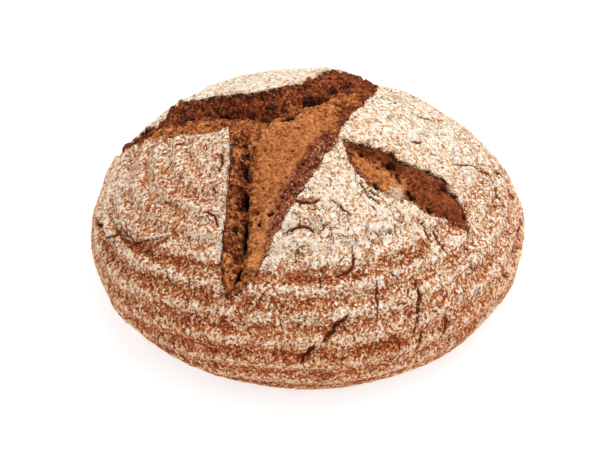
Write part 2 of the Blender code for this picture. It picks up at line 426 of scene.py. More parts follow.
# Where the skin slid over itself it stands in a lip, with a bare step below it.
LIPS = (
    [(-164, 129), (-158, 128), (-151, 126), (-146, 121), (-142, 115), (-139, 109)],
    [(-176, 146), (-170, 143), (-166, 138), (-162, 136)],
    [(-161, 141), (-158, 137), (-155, 132)],
)
lip = np.zeros(len(spots))
step_down = np.zeros(len(spots))
for line in LIPS:
    line = flowing(at_angle(line))
    nearest_spot, gap = nearest(tree_of(line), spots)
    inner = along < np.hypot(*line[nearest_spot].T)
    lip = np.maximum(lip, np.exp(-((gap / 2.4) ** 2)) * inner)
    step_down = np.maximum(step_down, np.exp(-((np.maximum(gap - 1, 0) / 2.2) ** 2)) * ~inner)
rise += 1.2 * lip - 0.7 * step_down
crack_depth = np.exp(-((crack_away / (0.62 * crack_width[crack_index] + 0.25)) ** 2)) * ~opened
rise -= crack_depth * (0.45 + 0.75 * crack_width[crack_index])
step = np.exp(-((crack_away / 3.5) ** 2)) * np.clip(crack_width[crack_index] - 1, 0, 1)
rise += 0.6 * step * ~opened * (crack_depth < 0.5)
# Inside the burst the skin dives under the crumb, out of sight.
rise -= np.where(opened, 15 + 13 * smooth_step(away / 4), 0)
rise *= np.where(opened, 1, smooth_step((HEEL_AT - along) / 6))
points = on_loaf(spots, rise)
heel_lumps = lumps(np.pad(heel_spots, ((0, 0), (0, 1))), 20, 2, 9)
heel_points = np.column_stack([heel_spots, 0.25 + 0.25 * heel_lumps])
crust_mesh.vertices.foreach_set("co", (np.concatenate([points, heel_points]) * MM).ravel())

# How much flour lies where, from none at 0 to a thick coat at 1, on the flaps and on the rings below them:
# degrees round the loaf, flour, and how much more of it lies on the ridges than in the grooves.
FLAP_FLOUR = (
    (-180, 0.55, 0.11), (-166, 0.58, 0.11), (-145, 0.52, 0.09), (-128, 0.66, 0.05), (-113, 0.76, 0.04),
    (-100, 0.94, 0.04), (-60, 0.96, 0.04), (-38, 0.95, 0.05), (-20, 0.94, 0.06), (15, 0.95, 0.07),
    (55, 0.88, 0.07), (66, 0.92, 0.09), (150, 0.92, 0.09), (160, 0.88, 0.09), (166, 0.56, 0.11),
    (180, 0.55, 0.11),
)
RING_FLOUR = (
    (-180, 0.82, 0.18), (-160, 0.70, 0.22), (-135, 0.43, 0.29), (-110, 0.46, 0.30), (-75, 0.56, 0.30),
    (-55, 0.60, 0.24), (-25, 0.67, 0.18), (10, 0.80, 0.15), (60, 0.88, 0.10), (150, 0.88, 0.10),
    (170, 0.80, 0.14), (180, 0.79, 0.16),
)
FLAPS_TO = 106
# Bands that the flour left bare: degrees and millimetres along each, its half width, and how bare it is.
BARE_BANDS = (
    ([(-160, 131), (-150, 127), (-140, 122), (-130, 116), (-118, 110)], 2.4, 0.30),
    ([(-162, 143), (-150, 139), (-140, 134), (-130, 130), (-119, 125)], 2.4, 0.24),
    ([(-94, 110), (-80, 111), (-66, 110), (-52, 109)], 2.0, 0.30),
    ([(-94, 151), (-85, 152), (-75, 151), (-66, 150)], 3.6, 0.34),
    ([(-146, 83), (-139, 77)], 2.2, 0.3),
    ([(-165, 84), (-152, 80)], 1.6, 0.2),
    ([(-98, 66), (-91, 66), (-84, 66)], 1.6, 0.4),
    ([(31, 57), (34, 68)], 3.0, 0.30),
    ([(13, 71), (15, 78)], 2.0, 0.30),
    ([(2, 124), (5, 130), (-1, 139)], 2.6, 0.5),
    ([(-22, 146), (-12, 147), (-5, 151)], 2.4, 0.4),
)
degrees_round = np.degrees(angle)
flap_flour, flap_more = (np.interp(degrees_round, *np.transpose(FLAP_FLOUR)[[0, i]]) for i in (1, 2))
ring_mean, ring_more = (np.interp(degrees_round, *np.transpose(RING_FLOUR)[[0, i]]) for i in (1, 2))
ridge = 2 * (0.5 + 0.5 * ring) ** 1.7 - 1 + 1.0 * lumps(smooth_points, 11, 3, 13)
ridge = np.clip(ridge, -1, 1) + 0.6 * np.clip(ridge + 0.5, 0, 1) * lumps(smooth_points, 4.5, 2, 14)
ring_flour = ring_mean + ring_more * ridge
flour = flap_flour + (ring_flour - flap_flour) * smooth_step((slipped - 99) / 6)
flour += flap_more * ring * smooth_step((along - 55) / 30) * smooth_step((FLAPS_TO - slipped) / 10)
flour += 0.14 * lumps(smooth_points, 16, 3, 11)
whiter = np.where(degrees_round < -95, np.exp(-away / 9) + 0.6 * np.exp(-away / 2.5), 0)
flour += 0.22 * whiter * smooth_step((FLAPS_TO - slipped) / 10)
for line, half_width, bareness in BARE_BANDS:
    gap = nearest(tree_of(flowing(at_angle(line))), spots)[1]
    flour -= bareness * np.exp(-((gap / half_width) ** 2)) * (1 + 0.8 * lumps(smooth_points, 5, 2, 15))
# Less flour on the step below each lip: bare skin, and painted shadow under the lip.
flour += 0.30 * lip - 0.45 * step_down
# Less flour at the singed edges, which also paints the shadow under the flaps' edges.
flour -= 0.4 * torn_scorch_and_shade[index] * np.exp(-away / 2.0)
# Soot-brown singeing along the tears, which also paints the shadow under the flaps' edges, and cracks as
# dark as they are wide.
singed_and_shaded = torn_scorch_and_shade[index] * np.exp(-away / 2.2) * (1 + 1.3 * lumps(smooth_points, 4, 2, 16))
seen_crack = crack_depth * np.clip(0.55 + 0.5 * crack_width[crack_index], 0, 1)
# The flour baked to a deeper cream low on the loaf. On the front flaps the deeper cream is painted shade,
# as they face away from the light.
toasted_and_front_shade = np.maximum(smooth_step((along - 105) / 60), 0.32 * smooth_step((10 - spots[:, 1]) / 40))
# How much of the skin is crazed, by degrees round the loaf. The sides below the flaps are less so.
CRAZED = (
    (-180, 0.3), (-130, 0.45), (-110, 1), (-40, 1), (-25, 0.5), (55, 0.4), (66, 0.1), (150, 0.1), (170, 0.3),
    (180, 0.3),
)
crazed = np.interp(degrees_round, *np.transpose(CRAZED)) * (1 - 0.7 * smooth_step((slipped - 100) / 10))
# The flour lies most unevenly on the rings and on the front left flap.
left_flap = smooth_step((-105 - degrees_round) / 10) + smooth_step((degrees_round - 158) / 8)
uneven = np.maximum(smooth_step((slipped - 97) / 10), 0.8 * left_flap)
for name, above, under in (
    ("flour", flour, 0.25),
    ("cracked", seen_crack, 0),
    ("torn", opened * np.minimum(-rise / 8, 3), 0),
    ("scorched_and_shaded", singed_and_shaded * ~opened, 0),
    ("lowness_and_front_shade", toasted_and_front_shade, 1),
    ("crazed", crazed, 0),
    ("uneven", uneven, 1),
):
    give(crust_mesh, name, np.concatenate([above, np.full(len(heel_points), under)]))

# Places counted round the loaf and along the crust, in which a grain pulled up and down the loaf is drawn.
PULL = 2.5
STREAK_REACH = 110.0
HEEL_STREAK = 200.0
round_loaf = np.concatenate([angle, np.arctan2(heel_spots[:, 1], heel_spots[:, 0])])
pulled_along = np.concatenate([along, np.full(len(heel_points), HEEL_STREAK)]) / PULL
pulled = np.column_stack([STREAK_REACH * np.cos(round_loaf), STREAK_REACH * np.sin(round_loaf), pulled_along])
pulled_attribute = crust_mesh.attributes.new("pulled", "FLOAT_VECTOR", "POINT")
pulled_attribute.data.foreach_set("vector", (pulled * MM).ravel())

# The map of the crust is its own bake layout, with the heel in a corner.
MAP_SHARE = 0.495
HEEL_SHARE = 0.08
HEEL_CORNER = 0.085


def corners_of(mesh):
    """The vertex at each corner of each face."""
    vertex = np.empty(len(mesh.loops), int)
    mesh.loops.foreach_get("vertex_index", vertex)
    return vertex


def put(name, data):
    """A new object in the scene, at the origin."""
    made = bpy.data.objects.new(name, data)
    bpy.context.scene.collection.objects.link(made)
    return made


corners = corners_of(crust_mesh)
corner_count = np.empty(len(crust_mesh.polygons), int)
crust_mesh.polygons.foreach_get("loop_total", corner_count)
on_heel = np.repeat(np.arange(len(crust_mesh.polygons)) >= upper_faces, corner_count)
map_uv = 0.5 + np.concatenate([spots, heel_spots]) / HEEL_AT * MAP_SHARE
heel_map = np.concatenate([spots * HEEL_RADIUS / HEEL_AT, heel_spots])
heel_uv = HEEL_CORNER + heel_map / HEEL_RADIUS * HEEL_SHARE
layout = np.where(on_heel[:, None], heel_uv[corners], map_uv[corners])
crust_mesh.uv_layers.new(name="OFBake").data.foreach_set("uv", layout.ravel())
crust_mesh.shade_smooth()
crust = put("crust", crust_mesh)


def paint(hex_code):
    """An sRGB hex colour as the linear colour that a shader takes."""
    parts = [int(hex_code[i : i + 2], 16) / 255 for i in (1, 3, 5)]
    return [c / 12.92 if c <= 0.04045 else ((c + 0.055) / 1.055) ** 2.4 for c in parts] + [1.0]


def material_of(name, values):
    """Makes a material and sets its shader's sockets. Gives back the material, its nodes and its shader."""
    made = bpy.data.materials.new(name)
    made.use_nodes = True
    shader = made.node_tree.nodes["Principled BSDF"]
    for socket, value in values.items():
        shader.inputs[socket].default_value = value
    return made, made.node_tree, shader


def add(tree, kind, inputs, out=0, **settings):
    """Adds one node, fed by numbers, hex colours or other nodes' outputs, and gives back one output."""
    made = tree.nodes.new("ShaderNode" + kind)
    for name, value in settings.items():
        setattr(made, name, value)
    for key, value in inputs.items():
        if isinstance(value, bpy.types.NodeSocket):
            tree.links.new(value, made.inputs[key])
        else:
            made.inputs[key].default_value = paint(value) if isinstance(value, str) else value
    return made.outputs[out]


# Baked rye crust under rye flour: bare skin is matte, slightly waxy and red-brown, and the flour is a dry
# cream powder in grains and clots. Its grains are 0.3 to 0.6 mm, drawn at 1.2 to 1.4 mm so that they show.
FLOUR_CLOT = 0.0012
FLOUR_SPECK = 0.0014
FLOUR_HEAP = 0.0034
CLUMP = 0.0030
MOTTLE = 0.011
PLATE = 0.0062
BENDS = 420.0  # in each metre
CRAZED_PATCHES = 110.0
crust_material, tree, shader = material_of("floured_rye_crust", {})
place = add(tree, "TexCoord", {}, out="Object")
pulled_place = add(tree, "Attribute", {}, out="Vector", attribute_name="pulled")
flour_here, cracked, torn, scorched_and_shaded, lowness_and_front_shade, crazed_here, uneven_here = (
    add(tree, "Attribute", {}, out="Fac", attribute_name=name)
    for name in ("flour", "cracked", "torn", "scorched_and_shaded", "lowness_and_front_shade", "crazed", "uneven")
)
bent = add(tree, "TexNoise", {"Vector": place, "Scale": BENDS, "Detail": 2.0}, out="Color")
bent = add(tree, "VectorMath", {0: bent, 1: (0.5, 0.5, 0.5)}, operation="SUBTRACT")
bent_little = add(tree, "VectorMath", {0: bent, "Scale": 0.0016}, operation="SCALE")
bent_little = add(tree, "VectorMath", {0: place, 1: bent_little}, operation="ADD")
bent_much = add(tree, "VectorMath", {0: bent, "Scale": 0.0060}, operation="SCALE")
bent_much = add(tree, "VectorMath", {0: place, 1: bent_much}, operation="ADD")
clots = add(tree, "TexVoronoi", {"Vector": bent_little, "Scale": 1 / FLOUR_CLOT}, feature="F1")
luck = add(tree, "SeparateColor", {0: clots.node.outputs["Color"]}).node.outputs
heaps, streaks, specks, mottle = (
    add(tree, "TexNoise", {"Vector": where, "Scale": 1 / size, "Detail": detail, "Roughness": roughness})
    for where, size, detail, roughness in (
        (place, FLOUR_HEAP, 5.0, 0.72),
        (pulled_place, FLOUR_HEAP, 2.0, 0.5),
        (place, FLOUR_SPECK, 3.0, 0.75),
        (place, MOTTLE, 4.0, 0.6),
    )
)
clumps = add(tree, "TexVoronoi", {"Vector": bent_much, "Scale": 1 / CLUMP}, feature="DISTANCE_TO_EDGE")
gaps = add(tree, "MapRange", {"Value": clumps, "From Min": 0.16, "From Max": 0.02})
dots = add(tree, "MapRange", {"Value": clots, "From Min": 0.45, "From Max": 0.25})
picked = add(tree, "MapRange", {"Value": luck[0], "From Min": 0.62, "From Max": 0.80})
dots = add(tree, "Math", {0: dots, 1: picked}, operation="MULTIPLY")

# How thick the flour lies: each pattern adds its share, and their mean is taken off again.
laid = flour_here
for pattern, share in (
    (heaps, 1.7), (specks, 1.9), (luck[1], 0.95), (streaks, 0.7), (mottle, 0.5), (gaps, -0.20), (dots, 0.34)
):
    laid = add(tree, "Math", {0: pattern, 1: share, 2: laid}, operation="MULTIPLY_ADD")
laid = add(tree, "Math", {0: laid, 1: 2.87}, operation="SUBTRACT")
patchy = add(tree, "Math", {0: heaps, 1: specks}, operation="ADD")
patchy = add(tree, "Math", {0: luck[1], 1: 0.6, 2: patchy}, operation="MULTIPLY_ADD")
patchy = add(tree, "Math", {0: patchy, 1: 0.75, 2: -0.975}, operation="MULTIPLY_ADD")
laid = add(tree, "Math", {0: patchy, 1: uneven_here, 2: laid}, operation="MULTIPLY_ADD")
covered = add(tree, "MapRange", {"Value": laid, "From Min": 0.15, "From Max": 0.75})
coat_amount = add(tree, "MapRange", {"Value": laid, "From Min": -0.5, "From Max": 1.25})
coat = add(tree, "ValToRGB", {0: coat_amount})
coat_tints = coat.node.color_ramp.elements
coat_tints[0].color = paint("#6a2d12")
coat_tints[1].color = paint("#f5f0e8")
for amount, tint in (
    (0.20, "#9d491e"), (0.36, "#bb6a37"), (0.47, "#cc8956"), (0.58, "#dbad80"), (0.70, "#e9cfa9"),
    (0.84, "#f0e2cb"),
):
    coat_tints.new(amount).color = paint(tint)
# Low on the loaf this tint is toasted flour. On the front flaps it is painted shade.
dusted = add(tree, "Mix", {0: lowness_and_front_shade, 6: coat, 7: "#ffdfc8"}, out=2, data_type="RGBA", blend_type="MULTIPLY")

# Fine crazing, where the floured skin dried and split into plates, and the cracks in the mesh.
plates = add(tree, "TexVoronoi", {"Vector": bent_much, "Scale": 1 / PLATE}, feature="DISTANCE_TO_EDGE")
craze = add(tree, "MapRange", {"Value": plates, "From Min": 0.062, "From Max": 0.018})
some = add(tree, "TexNoise", {"Vector": place, "Scale": CRAZED_PATCHES, "Detail": 1.0})
some = add(tree, "MapRange", {"Value": some, "From Min": 0.43, "From Max": 0.62})
for share in (some, crazed_here, 0.95):
    craze = add(tree, "Math", {0: craze, 1: share}, operation="MULTIPLY")
crisp = add(tree, "MapRange", {"Value": cracked, "From Min": 0.34, "From Max": 0.74})
split = add(tree, "Math", {0: craze, 1: crisp}, operation="MAXIMUM")
split_colour = add(tree, "Mix", {0: mottle, 6: "#521a08", 7: "#863c18"}, out=2, data_type="RGBA")

# The raw side of the skin under a torn edge, and the singed edge itself, whose dark also paints the
# shadow under the flap's edge.
under = add(tree, "MapRange", {"Value": torn, "From Min": 0.08, "From Max": 0.2})
charred_and_shaded = add(tree, "Math", {0: heaps, 1: 2.4, 2: -0.6}, operation="MULTIPLY_ADD")
charred_and_shaded = add(tree, "Math", {0: scorched_and_shaded, 1: charred_and_shaded}, operation="MULTIPLY")
charred_and_shaded = add(tree, "MapRange", {"Value": charred_and_shaded, "From Min": 0.14, "From Max": 0.50})
coloured = dusted
for share, colour in ((split, split_colour), (under, "#5f2c17"), (charred_and_shaded, "#46240f")):
    coloured = add(tree, "Mix", {0: share, 6: coloured, 7: colour}, out=2, data_type="RGBA")
dry = add(tree, "MapRange", {"Value": covered, "To Min": 0.62, "To Max": 0.95})
glint = add(tree, "MapRange", {"Value": split, "To Min": 0.15, "To Max": 0.0})
heaped = dots
for pattern, height in ((covered, 0.5), (heaps, 2.0), (specks, 1.0), (split, -1.6), (gaps, -0.4)):
    heaped = add(tree, "Math", {0: pattern, 1: height, 2: heaped}, operation="MULTIPLY_ADD")
bump = add(tree, "Bump", {"Height": heaped, "Strength": 0.9, "Distance": 0.0007})
for value, socket in (
    (coloured, "Base Color"), (dry, "Roughness"), (glint, "Specular IOR Level"), (bump, "Normal")
):
    tree.links.new(value, shader.inputs[socket])
crust_mesh.materials.append(crust_material)
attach(crust, "root")
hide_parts("loaf")

# The torn crumb: where the cross burst, dense crumb swelled up between the flaps and baked dry, a tan mass on
# the front right flap and red-brown walls under the others, with deep splits between them. Each piece is a
# slab with a fine torn top, whose edges run in under the crust.

CRUMB_STEP = 0.55
UNDER_CRUST = 2.4
SLAB_DEPTH = 22
# Lines on the crumb, seen from above, as (x, y, height over the smooth crown) in millimetres.
CRUMB_LINES = (
    # the split beside the front left flap
    [
        (-31, -10, -5), (-34, -30, -8), (-35, -53, -9.5), (-35, -66, -9), (-36, -80, -9.5), (-39, -92, -7),
        (-42, -102, -2),
    ],
    # the split that runs from the left arm to the back arm
    [
        (-107, 40, -2), (-84, 28, -5), (-66, 24, -8), (-53, 21, -10), (-39, 14, -12), (-26, 6, -12),
        (-12, 0, -10),
    ],
    [(-12, 0, -10), (-4, 5, -8), (4, 10, -8), (13, 19, -4), (21, 32, -2.5)],
    # the tan mass
    [
        (-30, -96, -2), (-21, -80, -2), (-15, -62, -2), (-9, -42, -1.5), (-4, -20, -1), (3, -10, -1),
        (13, 0, -1.5),
    ],
    [
        (-29, -80, -3.6), (-28, -60, -3.6), (-25, -40, -3.3), (-22, -22, -3.2), (-17, -10, -3.5),
        (-4, -3, -3), (10, 3, -3),
    ],
    # the rough crumb that wells up between the back flaps
    [(13, 0, -1.5), (22, 10, -1.5), (31, 28, -1), (37, 48, -0.5), (38, 74, -0.5)],
    [(2, 24, -3), (10, 40, -1), (17, 54, -0.5), (26, 72, -0.5)],
    [(16, 26, -1.5), (25, 42, -0.5), (32, 64, 0)],
    # the floor of the left arm
    [(-100, 26, -1.5), (-84, 16, -3), (-68, 8, -4), (-52, 3, -5), (-38, -2, -4.5)],
    # the wall under the back left flap
    [
        (-103, 49, -1), (-84, 38, -2), (-66, 30, -3.5), (-52, 28, -4.5), (-39, 21, -5), (-24, 17, -5),
        (-10, 18.5, -4), (0, 28, -3.5),
    ],
    # the right slit: its split, and its floor
    [
        (20, -27, -2), (34, -29, -4), (46, -33, -4.5), (52, -39, -4.5), (57, -47, -4.5), (65, -52, -4),
        (76, -53, -3.5), (87, -56, -1.5),
    ],
    [(27, -36, -1.2), (36, -42, -1.4), (44, -46, -1.5), (50, -49.5, -1.2)],
    [(58, -36, -2.8), (68, -40, -2.6), (77, -45, -2.4), (84, -52, -1.8)],
)
# Holes that gape in the crumb: x, y, length, width, degrees, depth.
HOLES = (
    (-34.6, -56.5, 13, 4.4, 93, 6),
    (-34.6, -76, 18, 3.6, 84, 6),
    (-37.2, -94.5, 10, 3.4, 68, 5),
    (-35.5, -38, 8, 3.4, 88, 3.5),
    (-35.0, -28, 5, 2.2, 90, 3),
    (-39.5, -72, 5, 1.6, 80, 2.5),
    (-28.8, -17.6, 5, 3.2, 20, 5),
    (-24.0, -2, 18, 4.0, -8, 4),
    (-11.0, -7, 8, 4.0, 10, 4),
    (-4.0, -1, 8, 3.0, 40, 3),
    (5.0, 14, 15, 9.0, 15, 10),
    (17.0, 24, 8, 5.0, 30, 5),
    (35.0, 38, 8, 4.5, -30, 6),
    (35.0, 62, 16, 3.0, 86, 2),
    (11.0, 36, 6, 3.0, 20, 4),
    (26.0, 33, 5, 3.0, 60, 4),
    (-50.0, 21, 9, 2.6, -12, 3),
    (-70.0, 27, 7, 2.2, -4, 3),
    (-22.0, 12, 6, 3.0, 0, 3),
    (-19.0, -68, 3.8, 2.6, 80, 3.5),
    (-25.0, -72, 3.2, 1.8, 70, 3.0),
    (30.0, -31, 4.0, 3.0, 60, 4),
    (47.5, -33, 6.0, 3.6, -20, 4),
    (51.5, -39, 7.0, 2.6, -60, 4),
    (39.0, -38, 3.6, 1.6, 5, 2.5),
    (37.5, -50, 5.0, 3.2, -40, 2.5),
    (76.0, -36.5, 5.0, 3.0, -30, 3),
    (58.0, -48, 7.0, 1.8, -48, 2),
    (68.0, -52, 6.0, 2.0, -15, 2.5),
)


def crumb_slab(outline, step):
    """A flat grid on the map, trimmed a little outside an outline, with a skirt and a floor under it."""
    shape = bmesh.new()
    low, high = outline.min(0)[:2] - 4, outline.max(0)[:2] + 4
    size = (high - low).max() / 2
    count = int(2 * size / step)
    bmesh.ops.create_grid(shape, x_segments=count, y_segments=count, size=size)
    bmesh.ops.translate(shape, verts=shape.verts, vec=(*((low + high) / 2), 0))
    shape.verts.ensure_lookup_table()
    where = np.array([v.co.xy for v in shape.verts])
    inside = within(outline, where)
    keep = inside | (nearest(torn_tree, where)[1] < UNDER_CRUST)
    keep &= inside | (nearest(tree_of(outline), where)[1] < UNDER_CRUST)
    trim(shape, [shape.verts[i] for i in np.flatnonzero(~keep)])
    trim(shape, [v for v in shape.verts if sum(e.is_boundary for e in v.link_edges) > 2])
    top_count = len(shape.verts)
    skirt = bmesh.ops.extrude_edge_only(shape, edges=[e for e in shape.edges if e.is_boundary])["geom"]
    bottom = [e for e in skirt if isinstance(e, bmesh.types.BMEdge) and e.is_boundary]
    for vertex in {v for e in bottom for v in e.verts}:
        vertex.co.z = -SLAB_DEPTH
    bmesh.ops.triangle_fill(shape, edges=bottom, use_beauty=True, normal=(0, 0, 1))
    bmesh.ops.recalc_face_normals(shape, faces=shape.faces)
    return shape, top_count


def crumb_height(spots):
    """Height of the torn crumb over the smooth crown: each edge and line pulls at what is near it."""
    total = np.zeros(len(spots))
    weight = np.zeros(len(spots))
    lines = [np.column_stack([edge.line, edge.joins]) for edge in EDGES]
    for line in CRUMB_LINES:
        line = np.asarray(line, float)
        lines.append(flowing(np.column_stack([on_map(line[:, :2]), line[:, 2]]), 0.6))
    for line in lines:
        index, away = nearest(tree_of(line), spots)
        pull = 1 / (away ** 2 + 0.25) ** 1.35
        total += pull * line[index, 2]
        weight += pull
    return total / weight


def crumb_piece(name, outline):
    """One slab of torn crumb, with the numbers that its material reads."""
    shape, top_count = crumb_slab(outline, CRUMB_STEP)
    mesh = bpy.data.meshes.new(name)
    shape.to_mesh(mesh)
    shape.free()
    spots = coordinates(mesh)[:, :2]
    index, away = nearest(torn_tree, spots)
    inner = within(outline, spots)
    smooth_points = on_loaf(spots, np.zeros(len(spots)))
    height = crumb_height(spots)
    broad = heave(spots, smooth_points)
    depth = smooth_step(-height / 10)
    # The tan mass is even, and the walls and the back shoulder are coarse.
    front = smooth_step((-0.3 * spots[:, 0] - spots[:, 1] + 10) / 24) * smooth_step((spots[:, 0] + 36) / 10)
    # The crumb baked longest in a red rim, which narrows towards the tip of the front arm.
    rims = np.concatenate([FRONT_RIGHT.line, SLIT_FRONT.line])
    narrowing = 2.0 + 11.5 * smooth_step((FRONT_RIGHT.line[:, 1] + 104) / 40)
    rim_width = np.concatenate([narrowing, np.full(len(SLIT_FRONT.line), 4.0)])
    rim_at, gap = nearest(tree_of(rims), spots)
    rim = np.clip(1 - gap / rim_width[rim_at], 0, 1)
    coarse = 1 - 0.85 * front * (1 - depth) * (1 - 0.7 * smooth_step(rim * 2.5))
    welled = smooth_step((spots[:, 1] - 10 - 0.25 * spots[:, 0]) / 12) * smooth_step((spots[:, 0] + 14) / 8)
    # Lumps of each kind: how tall, how wide, octaves, seed.
    for layers in (
        ((1.6 * welled, 5, 3, 25), (1.7 * coarse, 9, 3, 21), (0.6, 6, 3, 22)),
        ((0.3 + 0.9 * coarse, 3.2, 3, 24), (0.25 + 0.45 * coarse, 1.5, 2, 23)),
    ):
        height += sum(tall * lumps(smooth_points, *kind) for tall, *kind in layers)
    # Bubbles of the crumb that the tear opened.
    bubbles = np.random.default_rng(11)
    low, high = spots.min(0), spots.max(0)
    bubble_at = bubbles.uniform(low, high, (int((high - low).prod() / 16), 2))
    bubble_size = 0.35 + bubbles.gamma(1.5, 0.30, len(bubble_at))
    bubble, gap = nearest(tree_of(bubble_at), spots)
    inside_bubble = np.clip(1 - (gap / bubble_size[bubble]) ** 2, 0, 1)
    height -= (0.2 + 0.9 * coarse) * bubble_size[bubble] * np.sqrt(inside_bubble)
    ragged_rim = np.column_stack([lumps(smooth_points, 3, 2, 31), lumps(smooth_points, 3, 2, 32)])
    gape_shade_and_burn = np.zeros(len(spots))
    for x, y, length, width, degrees, deep in HOLES:
        centre = on_map([(x, y)])[0]
        turn = math.radians(degrees)
        offset = spots - centre + 0.8 * ragged_rim
        u = (offset[:, 0] * math.cos(turn) + offset[:, 1] * math.sin(turn)) / (length / 2)
        v = (offset[:, 1] * math.cos(turn) - offset[:, 0] * math.sin(turn)) / (width / 2)
        hole = np.clip(1.25 - np.hypot(u, v), 0, 1)
        height -= deep * smooth_step(hole * 1.6)
        # How far the hole gapes, which the material paints near black as the shade inside it.
        gape_shade_and_burn = np.maximum(gape_shade_and_burn, smooth_step(hole * 2.4))
    # The crest of the crumb at the back stood nearest the oven's roof, and burnt.
    crest = flowing(on_map([(36, 50), (39, 58), (40.5, 68), (40, 76)]))
    burnt = np.exp(-((nearest(tree_of(crest), spots)[1] / 2.4) ** 2))
    height += 1.6 * burnt
    gape_shade_and_burn = np.maximum(gape_shade_and_burn, 0.85 * burnt)
    height = np.maximum(height, -1.6 - 3.4 * away)
    # Outside the torn edge the slab runs in under the crust.
    height = np.where(inner, height, np.minimum(height, -1.0) - 0.7 - 1.1 * away)
    height[top_count:] = -SLAB_DEPTH
    points = on_loaf(spots, height + broad)
    jog = np.column_stack([lumps(smooth_points, 2.6, 2, 41 + i) for i in range(3)])
    points += np.where((inner & (away > 1.2))[:, None], 0.8 * jog, 0)
    mesh.vertices.foreach_set("co", (points * MM).ravel())
    walls = [1.1 * welled, 0.75 * smooth_step((spots[:, 0] - 55) / 6)]
    for edge, reach, baked in (
        (LEFT_FRONT, 11, 0.30 - 0.2 * smooth_step((-70 - spots[:, 1]) / 18)),
        (BACK_LEFT, 17, 1.1),
        (BACK_SEAM, 13, 1.0),
        (BACK_RIGHT, 10, 0.7),
        (SLIT_BACK, 11, 1.0),
    ):
        walls.append(baked * np.clip(1 - nearest(tree_of(edge.line), spots)[1] / reach, 0, 1))
    wide_bubble = np.sqrt(inside_bubble) * (bubble_size[bubble] > 0.9)
    # Flour fell along the edges and on one spot in the slit.
    floured = np.hypot(*(spots - on_map([(49, -50)])[0]).T)
    for attribute, values in (
        # Depth, which the material draws browner as painted shade.
        ("depth", smooth_step(-height / 12)),
        ("rim", rim),
        ("wall", np.max(walls, axis=0)),
        ("coarse", coarse),
        # The tan mass is painted paler low on the front arm, as painted light where the soft box reaches
        # less.
        ("painted_front_light", front * smooth_step((-55 - spots[:, 1]) / 30)),
        # Holes and open bubbles, painted near black as the shade inside them, and the burnt crest, dark for
        # real.
        ("hole", np.maximum(gape_shade_and_burn, 0.55 * coarse * wide_bubble)),
        ("dust", 0.5 * np.exp(-away / 2.0) + 0.6 * rim + 1.8 * np.exp(-((floured / 6.5) ** 2))),
    ):
        give(mesh, attribute, values)
    centre = (spots.min(0) + spots.max(0)) / 2
    layout = 0.5 + (spots - centre) / ((spots.max(0) - spots.min(0)).max() * 1.02)
    mesh.uv_layers.new(name="OFBake").data.foreach_set("uv", layout[corners_of(mesh)].ravel())
    mesh.shade_smooth()
    return put(name, mesh)


# Baked crumb of a rye dough: dry, matte and granular, tan where it is thick, deep red-brown where it tore
# early and baked longest. Its grain is about 0.8 mm, drawn at 1.3 mm so that it shows.
CRUMB_GRAIN = 0.0013
CRUMB_PORE = 0.0030
FINE_GRAINS = 520.0  # in each metre
PATCHES = 130.0
crumb_material, tree, shader = material_of("torn_rye_crumb", {"Roughness": 0.85, "Specular IOR Level": 0.12})
place = add(tree, "TexCoord", {}, out="Object")
depth, rim, wall, coarse, hole, dust, painted_front_light = (
    add(tree, "Attribute", {}, out="Fac", attribute_name=name)
    for name in ("depth", "rim", "wall", "coarse", "hole", "dust", "painted_front_light")
)
bent = add(tree, "TexNoise", {"Vector": place, "Scale": BENDS, "Detail": 2.0}, out="Color")
bent = add(tree, "VectorMath", {0: bent, "Scale": 0.0022}, operation="SCALE")
bent = add(tree, "VectorMath", {0: place, 1: bent}, operation="ADD")
grains = add(tree, "TexVoronoi", {"Vector": bent, "Scale": 1 / CRUMB_GRAIN}, feature="F1")
luck = add(tree, "SeparateColor", {0: grains.node.outputs["Color"]}).node.outputs
pores = add(tree, "TexVoronoi", {"Vector": bent, "Scale": 1 / CRUMB_PORE}, feature="F1")
pore_luck = add(tree, "SeparateColor", {0: pores.node.outputs["Color"]})
fine = add(tree, "TexNoise", {"Vector": place, "Scale": FINE_GRAINS, "Detail": 4.0, "Roughness": 0.7})
patches = add(tree, "TexNoise", {"Vector": place, "Scale": PATCHES, "Detail": 5.0, "Roughness": 0.65})
patch_wide = add(tree, "MapRange", {"Value": patches, "From Min": 0.36, "From Max": 0.64})

# The light and dark of the grains, which spread further where the crumb is coarse.
tone = add(tree, "Math", {0: luck[0], 1: 0.20, 2: -1.20}, operation="MULTIPLY_ADD")
for pattern, share in ((fine, 2.0), (patches, 1.0)):
    tone = add(tree, "Math", {0: pattern, 1: share, 2: tone}, operation="MULTIPLY_ADD")
spread = add(tree, "Math", {0: coarse, 1: 0.9, 2: 0.9}, operation="MULTIPLY_ADD")
tone = add(tree, "Math", {0: tone, 1: 0.5}, operation="SUBTRACT")
tone = add(tree, "Math", {0: tone, 1: spread, 2: 0.5}, operation="MULTIPLY_ADD")
# Painted light lifts the tan low on the front arm.
tone = add(tree, "Math", {0: painted_front_light, 1: 0.22, 2: tone}, operation="MULTIPLY_ADD")
tone = add(tree, "Clamp", {0: tone})
tan, brown, reddish = (
    add(tree, "Mix", {0: tone, 6: dark, 7: light}, out=2, data_type="RGBA")
    for dark, light in (("#8a3f15", "#e2985b"), ("#471505", "#b25f32"), ("#531a0c", "#bd7047"))
)

